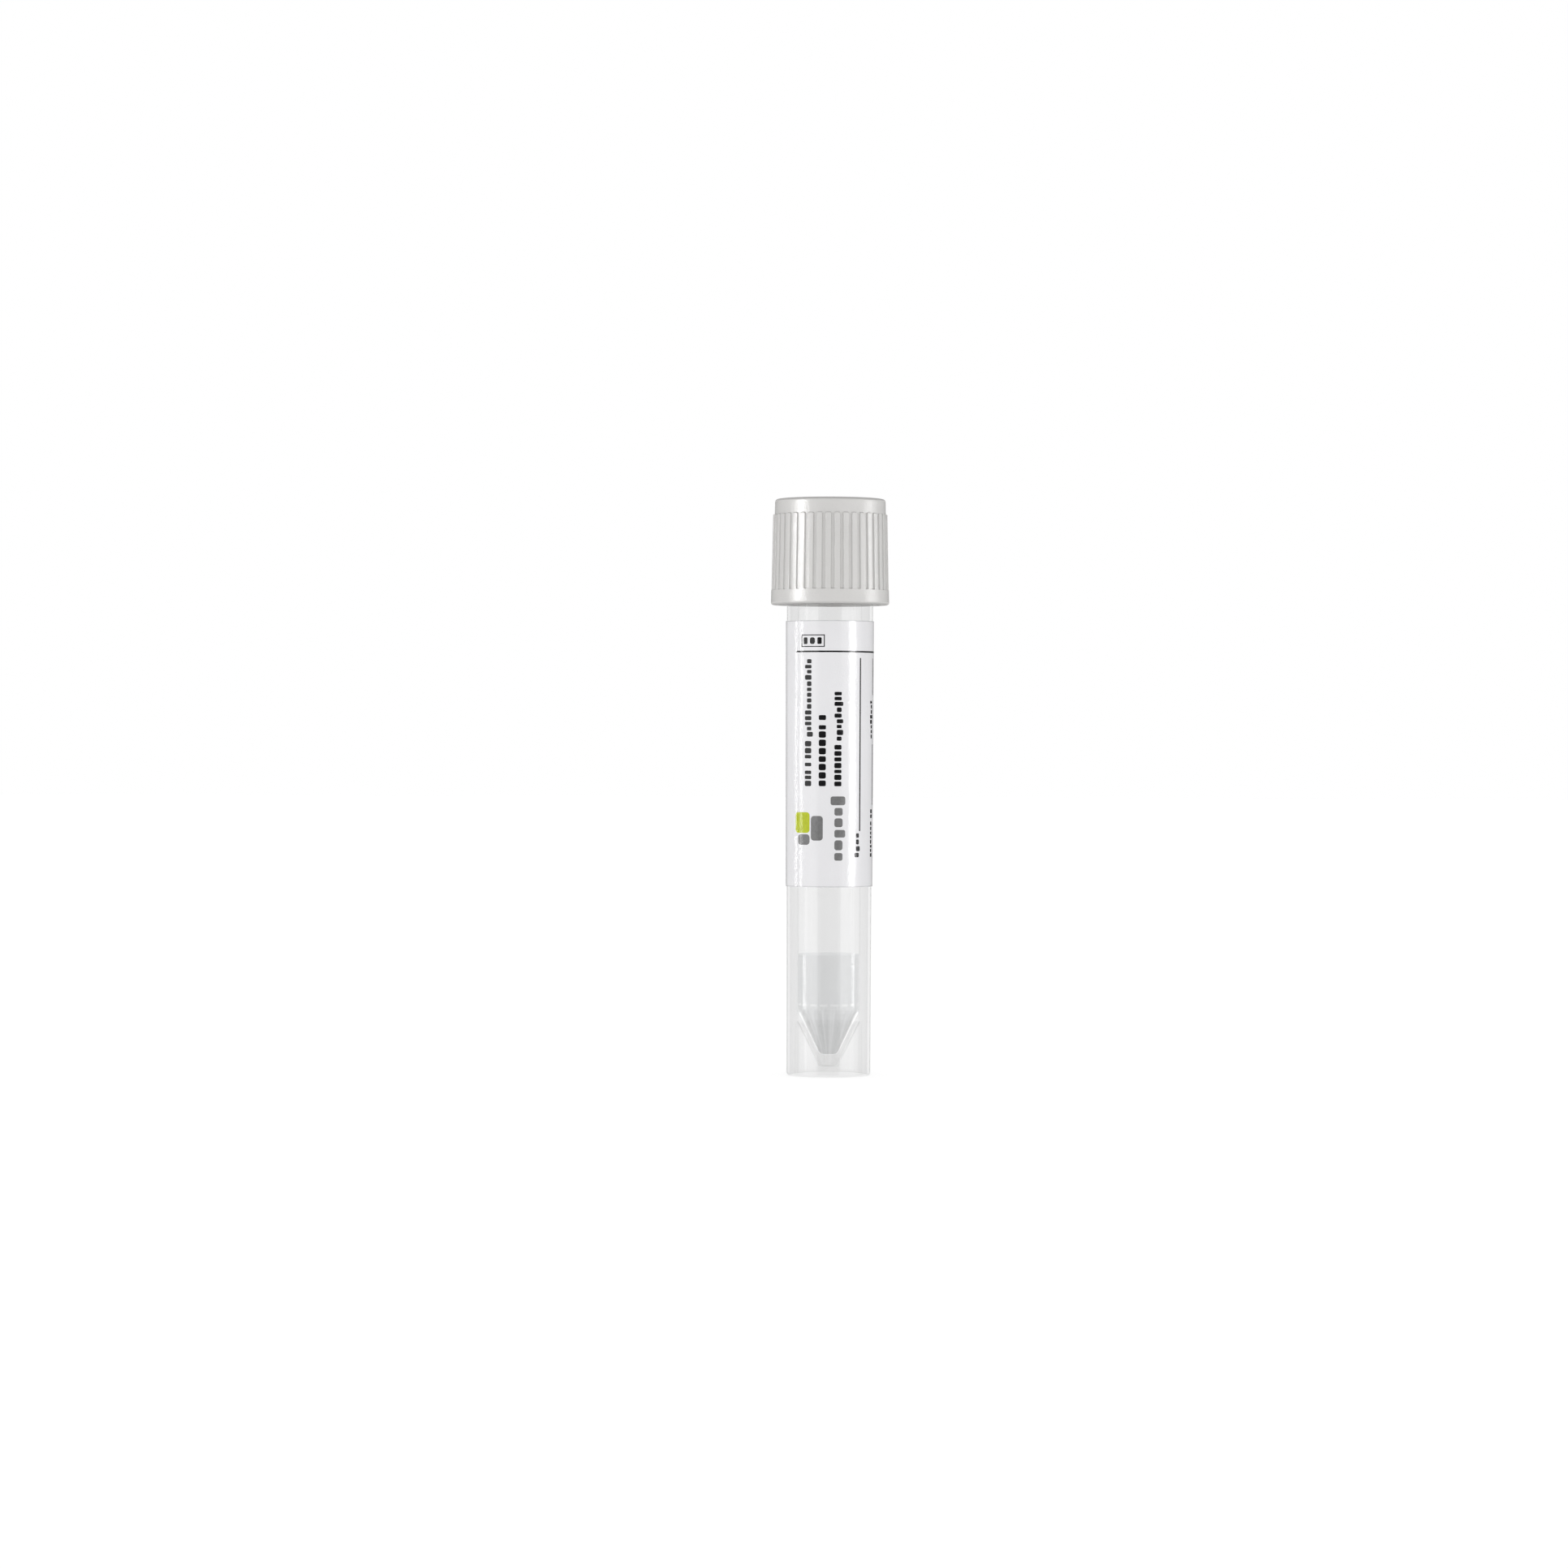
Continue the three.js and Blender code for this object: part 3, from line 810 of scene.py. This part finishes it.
def label_mesh(tube, label):
    """The film: a band round the body with rounded corners, open at the back. Its "cut" attribute is 1 along
    its edges, where painted shade darkens it."""
    reach, height = math.pi * tube.radius - label.strip / 2.0, label.top - label.bottom
    ease = np.array([0.0, 0.06, 0.2, 0.42, 0.7, 1.0]) * label.corner
    middle = np.linspace(label.corner - reach, reach - label.corner, 202)[1:-1]
    columns = np.concatenate([ease - reach, middle, (reach - ease)[::-1]])
    trim = corner_trim(label.corner, reach - np.abs(columns))
    edge, inset = np.array([0.0, 0.05, 0.11, 0.16, 0.3]) * MM, 1.0 * MM
    rows = np.concatenate([edge, np.linspace(inset, height - inset, 30), (height - edge)[::-1]])
    share = (rows / rows[-1])[:, None]
    z = label.bottom + trim + share * (height - 2.0 * trim)
    angle = columns[None] / tube.radius + FRONT
    radius = film_radius(tube, label, z)
    outer, inner = turned(radius, z, angle), turned(radius - label.thickness, z, angle)
    points, faces = sheet(outer[None], inner[None])
    from_edge = np.minimum(np.minimum(rows, rows[-1] - rows)[:, None], (reach - np.abs(columns))[None])
    cut = smoothstep(0.15 * MM, 0.08 * MM, from_edge)
    return make_mesh("label_film", points, [faces], attributes={"cut": np.stack([cut, cut])})


def crowded(columns):
    """Shares from 0 to 1 that crowd at both ends, as (1 - cos(pi t)) / 2 does."""
    return (1.0 - np.cos(np.linspace(0.0, math.pi, columns))) / 2.0


def patches(tube, label, blocks, shares):
    """Points and faces of thin printed patches on the film, with columns at the shares of their width. A row
    of blocks holds the developed place across (from, to), the height (from, to) and the corner's radius.
    Developed places turn into angles by dividing by the body's radius."""
    sunk = 0.3 * label.ink
    left, right, low, high, corner = (np.asarray(blocks, float) * MM).T[..., None]
    across = left + (right - left) * shares
    trim = corner_trim(corner, np.minimum(across - left, right - across))
    z = np.stack([low + trim, high - trim], axis=1)
    radius = film_radius(tube, label, z)
    angle = (across / tube.radius + FRONT)[:, None]
    return sheet(turned(radius + label.ink, z, angle), turned(radius - sunk, z, angle))


def text_row(base, rise, low, high, words, seed):
    """Blocks that stand for a row of words which reads upwards: one rounded block for each character, with
    its width picked from a few plain ones. A negative count is a word of full-height blocks, and the others
    are lower, with a few that stand up or hang down. Base is the row's right side, rise its full height."""
    narrow_space, word_space, lower, hang, sink, roundness = 0.24, 0.68, 0.72, 0.2, 0.06, 0.25
    picks = np.random.default_rng(seed)
    counts = np.abs(words)
    total = counts.sum()
    width = picks.choice([0.56, 0.66, 0.76, 0.86], total)
    space = np.full(total, narrow_space)
    space[np.cumsum(counts) - 1] = word_space
    space[-1] = 0.0
    scale = (high - low) / (width.sum() + space.sum())
    ends = low + np.cumsum(width + space) * scale - space * scale
    large = np.repeat(np.sign(words) < 0, counts)
    tall = np.where(large, 1.0, picks.choice([lower, lower, lower, 1.0], total))
    dip = np.where(large, 0.0, picks.choice([0.0, 0.0, 0.0, 0.0, hang], total))
    size = width * scale
    left, right = base - rise * (tall - sink), base + rise * (dip - sink)
    return np.column_stack([left, right, ends - size, ends, np.minimum(size, rise) * roundness])


def frame_bars(left, right, low, high, stroke):
    """Four bars of a box's outline."""
    return [
        (left, right, low, low + stroke, 0.0),
        (left, right, high - stroke, high, 0.0),
        (left, left + stroke, low + stroke, high - stroke, 0.0),
        (right - stroke, right, low + stroke, high - stroke, 0.0),
    ]


# Rows of small text in millimetres: base, rise, from, to, counts of the words, seed
SMALL_TEXT = (
    (-2.55, 1.13, 40.2, 57.7, (-3, -1, -3, 14), 3),
    (-0.48, 1.13, 40.2, 50.0, (-8, -1), 4),
    (1.66, 1.13, 40.2, 53.2, (-7, 9), 5),
    (4.45, 0.85, 30.4, 33.7, (4,), 6),
    (7.75, 0.85, 46.8, 52.0, (8,), 7),
    (7.75, 0.85, 30.4, 37.0, (8, 2), 8),
    (11.2, 0.85, 30.4, 34.4, (6,), 9),
    (14.6, 0.85, 30.4, 35.6, (8,), 10),
    (-9.9, 0.6, 31.0, 57.4, (7, 4, 9, 3, 6, 5, 8), 11),
    (-11.2, 0.6, 31.0, 56.0, (5, 8, 2, 7, 6, 4, 7), 12),
    (-12.5, 0.6, 31.0, 57.8, (9, 3, 6, 8, 4, 9), 13),
    (-13.8, 0.6, 31.0, 49.5, (6, 7, 3, 5, 6), 14),
)


def print_layers():
    """Groups of blocks in millimetres, with the shares of their columns, for each ink. Black prints the small
    text, a small box with three blocks, three empty boxes, the rules, and a long rule round the label. Grey
    prints the large text and two tiles, and green one tile."""
    block, tile, evenly = crowded(9), crowded(17), np.linspace(0.0, 1.0, 96)
    boxed = ((-3.84, -3.24, 0.16), (-2.86, -2.12, 0.3), (-1.78, -1.18, 0.16))
    rules = ((4.42, 4.64, 34.0, 57.9), (7.90, 8.12, 37.6, 46.0), (7.90, 8.12, 52.8, 57.9),
             (11.28, 11.5, 35.2, 57.9), (14.68, 14.9, 36.4, 57.9))
    black = np.concatenate([
        *(text_row(*row) for row in SMALL_TEXT),
        [(left, right, 59.78, 60.71, soft) for left, right, soft in boxed],
        frame_bars(-4.22, -0.75, 59.39, 61.10, 0.13),
        *(frame_bars(-16.2, -14.8, low, low + 5.0, 0.12) for low in (31.0, 37.0, 43.0)),
        [(*rule, 0.0) for rule in rules],
    ])
    long_rule = [(-5.18, 16.2, 58.66, 58.88, 0.0)]
    grey = [*text_row(1.9, 1.9, 29.95, 38.8, (6,), 21),
            (-2.65, -0.95, 32.7, 36.1, 0.45), (-4.75, -2.85, 32.1, 33.55, 0.45)]
    green = [(-5.3, -2.85, 33.75, 36.6, 0.45)]
    return {"black": [(black, block), (long_rule, evenly)], "grey": [(grey, tile)], "green": [(green, tile)]}


# ---- stage


# How bright the world's panels are in shine, as (degrees from the front, level), the same on both sides
PANELS = ((0, 0.02), (30, 0.02), (33, 1.15), (86, 1.15), (92, 0.12), (124, 0.12), (158, 0.12),
          (164, 0.3), (180, 0.3))

# Pieces that a lamp may shine on
CLEAR = ("tube_clear", "medium")
FILM = ("label_film", "label_print_black", "label_print_grey", "label_print_green")
CAP = ("screw_cap_moulded", "seal_rubber_ring")

# Tall soft strips: name, degrees from the front to the right, width, brightness, receivers, and height and
# level where they aren't the usual ones
STRIPS = (
    ("cap_strip_left", -65.0, 0.18, 30.0, CAP),
    ("cap_strip_right", 90.0, 0.22, 9.0, CAP),
    ("label_strip_left", -80.0, 0.055, 9.0, FILM),
    ("label_strip_far_left", -99.0, 0.055, 9.0, FILM),
    ("label_fill_left", -128.0, 0.60, 0.4, FILM),
    ("label_strip_right", 62.0, 0.24, 8.0, FILM),
    ("tube_strip_left", -65.0, 0.08, 1.2, CLEAR),
    ("tube_strip_right", 70.0, 0.05, 1.0, CLEAR),
    ("tube_edge_left", -144.0, 0.26, 0.48, CLEAR),
    ("tube_edge_right", 144.0, 0.26, 1.2, CLEAR),
    ("tube_back", 180.0, 0.51, 0.45, CLEAR[:1]),
    ("cone_back", 180.0, 0.80, 0.7, CLEAR[:1], 0.23, 0.21),
    ("medium_back", 180.0, 0.90, 1.4, CLEAR[1:]),
    ("medium_strip_left", -104.0, 0.24, 15.0, CLEAR[1:], 0.25, 0.02),
    ("medium_strip_right", 104.0, 0.10, 9.0, CLEAR[1:], 0.25, 0.02),
)


def world_light():
    """World light. The camera sees white, through the clear pieces too. Diffuse light is brightest from low
    directions and dims overhead. Shine meets white panels with dark bands between them, placed by the
    direction's turn away from the front, which dim overhead and give way to plain white underneath."""
    n = Nodes("studio", "worlds")
    bpy.context.scene.world = n.owner
    x, y, z = n.add("SeparateXYZ", n.add("TexCoord").outputs["Generated"]).outputs
    away = n.maths("ABSOLUTE", n.maths("ARCTAN2", x, n.maths("MULTIPLY", y, -1.0)))
    panels = n.add("ValToRGB", n.maths("DIVIDE", away, math.pi))
    ramp = panels.color_ramp.elements
    while len(ramp) < len(PANELS):
        ramp.new(0.5)
    for element, (degrees, level) in zip(ramp, PANELS):
        element.position = degrees / 180.0
        element.color = (level, level, level, 1.0)
    sky = n.spread(z, first=1.96, last=0.49, start=0.12, end=0.5)
    overhead = n.spread(z, first=1.0, last=0.1, start=0.35, end=0.6)
    underneath = n.spread(z, first=0.0, last=1.0, start=-0.35, end=-0.6)
    walls = n.blend(underneath, n.maths("MULTIPLY", panels.outputs["Color"], overhead), 1.0, "FLOAT")
    path = n.add("LightPath").outputs
    seen = n.maths("MAXIMUM", path["Is Camera Ray"], path["Is Transmission Ray"])
    strength = n.blend(seen, n.blend(path["Is Glossy Ray"], sky, walls, "FLOAT"), 1.0, "FLOAT")
    n.done(n.add("Background", Color=WHITE, Strength=strength), "OutputWorld")


def floor_material(share):
    """White floor. One share of its white is diffuse and takes the shadow, and the rest is a glow, whole for
    the camera and in shine and weaker for other light, so that the floor is white and sends up less light.
    The glow is a little weaker under the tube, as a contact shadow is."""
    white, bounce, under = 1.03, 0.85, 0.94
    inner, outer = 0.9 * TUBE_HIGH.x, 1.04 * TUBE_HIGH.x
    n = Nodes("floor_white")
    matte = n.add("BsdfDiffuse", Color=n.clouded(n.noise(30.0, 3.0), (share, share, share), 1.0, 1.01))
    path = n.add("LightPath").outputs
    shown = bounce
    for ray in ("Is Camera Ray", "Is Glossy Ray", "Is Transmission Ray"):
        shown = n.maths("MAXIMUM", path[ray], shown)
    away = n.add("VectorMath", n.here(), operation="LENGTH").outputs["Value"]
    shown = n.maths("MULTIPLY", shown, n.spread(away, under, 1.0, inner, outer))
    glow = n.add("Emission", Strength=n.maths("MULTIPLY", shown, white - share * SKY_ON_FLOOR))
    return n.done(n.add("AddShader", matte.outputs[0], glow.outputs[0]))


def strip_lamp(name, degrees, width, brightness, receivers, height=1.2, level=0.06):
    """A tall soft strip that shows only as shine on its receivers, and faces the tube's axis. Its power is
    its brightness * pi * its area."""
    distance = 0.7
    lamp = bpy.data.lights.new(name, "AREA")
    lamp.shape = "RECTANGLE"
    lamp.size, lamp.size_y = width, height
    lamp.energy = brightness * math.pi * width * height
    strip = bpy.data.objects.new(name, lamp)
    bpy.context.scene.collection.objects.link(strip)
    angle = math.radians(degrees)
    strip.location = (distance * math.sin(angle), -distance * math.cos(angle), level)
    strip.rotation_euler = (Vector((0.0, 0.0, level)) - strip.location).to_track_quat("-Z", "Y").to_euler()
    strip.visible_diffuse = False
    strip.visible_camera = False
    group = bpy.data.collections.new(name + "_receivers")
    for receiver in receivers:
        group.objects.link(bpy.data.objects[receiver])
    strip.light_linking.receiver_collection = group


# ---- operators


class TUBE_OT_body(Operator):
    """Make the clear tube with its threaded neck, conical bore and skirt"""

    bl_idname = "specimen_tube.body"
    bl_label = "Tube"

    def execute(self, context):
        settings = context.scene.specimen_tube
        grid, bands = tube_surface(settings.tube)
        wall, inner = settings.colours.wall, settings.colours.inner
        materials = [
            clear_material("clear_wall", wall, 0.045, 0.55, RIPPLE),
            clear_material("clear_inside", inner, 0.012, 0.08, RIPPLE),
            clear_material("clear_cone", inner, 0.02, 0.5, RIPPLE, fall=3.0, streak=0.025),
        ]
        place("tube_clear", lathe("tube_clear", grid, bands), materials, "tube", ["tube"])
        return {"FINISHED"}


class TUBE_OT_medium(Operator):
    """Make the transport medium that fills the cone"""

    bl_idname = "specimen_tube.medium"
    bl_label = "Medium"

    def execute(self, context):
        settings = context.scene.specimen_tube
        tint = settings.colours.medium
        materials = [
            clear_material("medium_liquid", tint, 0.012, 0.16),
            # Painted light: the top is tinted paler than the rest of the medium, to lighten the thin line
            # where it is seen edge-on.
            clear_material("medium_top", shaded(tint, 1.04), 0.012, 0.04),
            clear_material("medium_cone", tint, 0.012, 0.7, fall=3.0, streak=0.05),
        ]
        mesh = lathe("medium", *medium_surface(settings.tube))
        place("medium", mesh, materials, "tube", ["transport_medium"])
        return {"FINISHED"}


class TUBE_OT_seal(Operator):
    """Make the sealing ring under the cap's ceiling"""

    bl_idname = "specimen_tube.seal"
    bl_label = "Sealing ring"

    def execute(self, context):
        grid = seal_surface(SEAL_LOW, SEAL_HIGH)
        index = np.arange(grid.shape[0] * grid.shape[1]).reshape(grid.shape[:2])
        quads = ring_quads(np.concatenate([index, index[:1]]))
        mesh = make_mesh("seal_rubber_ring", grid.reshape(-1, 3), [quads])
        rubber = rubber_material(context.scene.specimen_tube.colours.seal)
        place("seal_rubber_ring", mesh, [rubber], "seal", ["seal_ring"])
        return {"FINISHED"}


class TUBE_OT_cap(Operator):
    """Make the ribbed screw cap with its inner thread, plug and stick socket"""

    bl_idname = "specimen_tube.cap"
    bl_label = "Screw cap"

    def execute(self, context):
        settings = context.scene.specimen_tube
        mesh = cap_mesh(settings.tube, settings.cap)
        outside = cap_material("cap_plastic", settings.colours.cap)
        # Painted light: the inside gets its own paler colour, for the light that comes through the wall.
        inside = cap_material("cap_inside", settings.colours.cap_inside)
        place("screw_cap_moulded", mesh, [outside, inside], "cap", ["screw_cap"])
        return {"FINISHED"}


class TUBE_OT_label(Operator):
    """Make the label's film"""

    bl_idname = "specimen_tube.label"
    bl_label = "Label"

    def execute(self, context):
        settings = context.scene.specimen_tube
        film = film_material(settings.colours.film, settings.colours.edge)
        place("label_film", label_mesh(settings.tube, settings.label), [film], "tube", ["label"])
        return {"FINISHED"}


class TUBE_OT_print(Operator):
    """Print rules, boxes, text blocks and plain tiles on the label"""

    bl_idname = "specimen_tube.print"
    bl_label = "Label print"

    def execute(self, context):
        settings = context.scene.specimen_tube
        for ink, groups in print_layers().items():
            points, faces, shift = [], [], 0
            for blocks, shares in groups:
                more, quads = patches(settings.tube, settings.label, blocks, shares)
                points.append(more)
                faces.append(quads + shift)
                shift += len(more)
            name = "label_print_" + ink
            mesh = make_mesh(name, np.concatenate(points), faces, smooth=False)
            material = ink_material("ink_" + ink, getattr(settings.colours, ink))
            place(name, mesh, [material], "tube", [])
        return {"FINISHED"}


class TUBE_OT_stage(Operator):
    """Set the floor, the light and the camera"""

    bl_idname = "specimen_tube.stage"
    bl_label = "Stage"

    def execute(self, context):
        scene = context.scene
        studio = scene.specimen_tube.studio
        corners = np.array([(-1.0, -1.0, 0.0), (1.0, -1.0, 0.0), (1.0, 1.0, 0.0), (-1.0, 1.0, 0.0)])
        mesh = make_mesh("floor", corners * studio.floor_size / 2.0, [np.array([[0, 1, 2, 3]])])
        mesh.materials.append(floor_material(studio.floor_shade))
        floor = bpy.data.objects.new("floor", mesh)
        scene.collection.objects.link(floor)
        floor.visible_glossy = False
        world_light()
        for strip in STRIPS:
            strip_lamp(*strip)

        lens = bpy.data.cameras.new("camera")
        lens.lens, lens.sensor_width = studio.lens, 36.0
        lens.clip_start, lens.clip_end = 0.01, 20.0
        camera = bpy.data.objects.new("camera", lens)
        camera.location = (-studio.aside, -studio.distance, studio.eye)
        aim = Vector((-studio.aside, 0.0, studio.aim))
        look = (aim - camera.location).to_track_quat("-Z", "Y") @ Quaternion((0.0, 0.0, 1.0), studio.roll)
        camera.rotation_euler = look.to_euler()
        scene.collection.objects.link(camera)
        scene.camera = camera
        scene.view_settings.view_transform = "Standard"
        scene.cycles.transparent_max_bounces = 32
        return {"FINISHED"}


class VIEW3D_PT_specimen_tube(Panel):
    """Sizes, colours and makers of the specimen tube"""

    bl_label = "Specimen Tube"
    bl_idname = "VIEW3D_PT_specimen_tube"
    bl_space_type = "VIEW_3D"
    bl_region_type = "UI"
    bl_category = "Specimen Tube"

    def draw(self, context):
        settings = context.scene.specimen_tube
        for key in SpecimenTube.__annotations__:
            group = getattr(settings, key)
            box = self.layout.box()
            box.label(text=key.capitalize())
            for name in group.__annotations__:
                box.prop(group, name)
        for maker in MAKERS:
            self.layout.operator(maker.bl_idname)


MAKERS = (TUBE_OT_body, TUBE_OT_medium, TUBE_OT_seal, TUBE_OT_cap, TUBE_OT_label, TUBE_OT_print,
          TUBE_OT_stage)
CLASSES = (TubeSizes, CapSizes, LabelSizes, Colours, Studio, SpecimenTube, *MAKERS, VIEW3D_PT_specimen_tube)


def register():
    for item in CLASSES:
        bpy.utils.register_class(item)
    bpy.types.Scene.specimen_tube = PointerProperty(type=SpecimenTube)


def unregister():
    del bpy.types.Scene.specimen_tube
    for item in reversed(CLASSES):
        bpy.utils.unregister_class(item)


def main():
    """Registers the add-on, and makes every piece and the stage."""
    register()
    bpy.ops.specimen_tube.body()
    bpy.ops.specimen_tube.medium()
    bpy.ops.specimen_tube.seal()
    bpy.ops.specimen_tube.cap()
    bpy.ops.specimen_tube.label()
    bpy.ops.specimen_tube.print()
    bpy.ops.specimen_tube.stage()


if __name__ == "__main__":
    main()
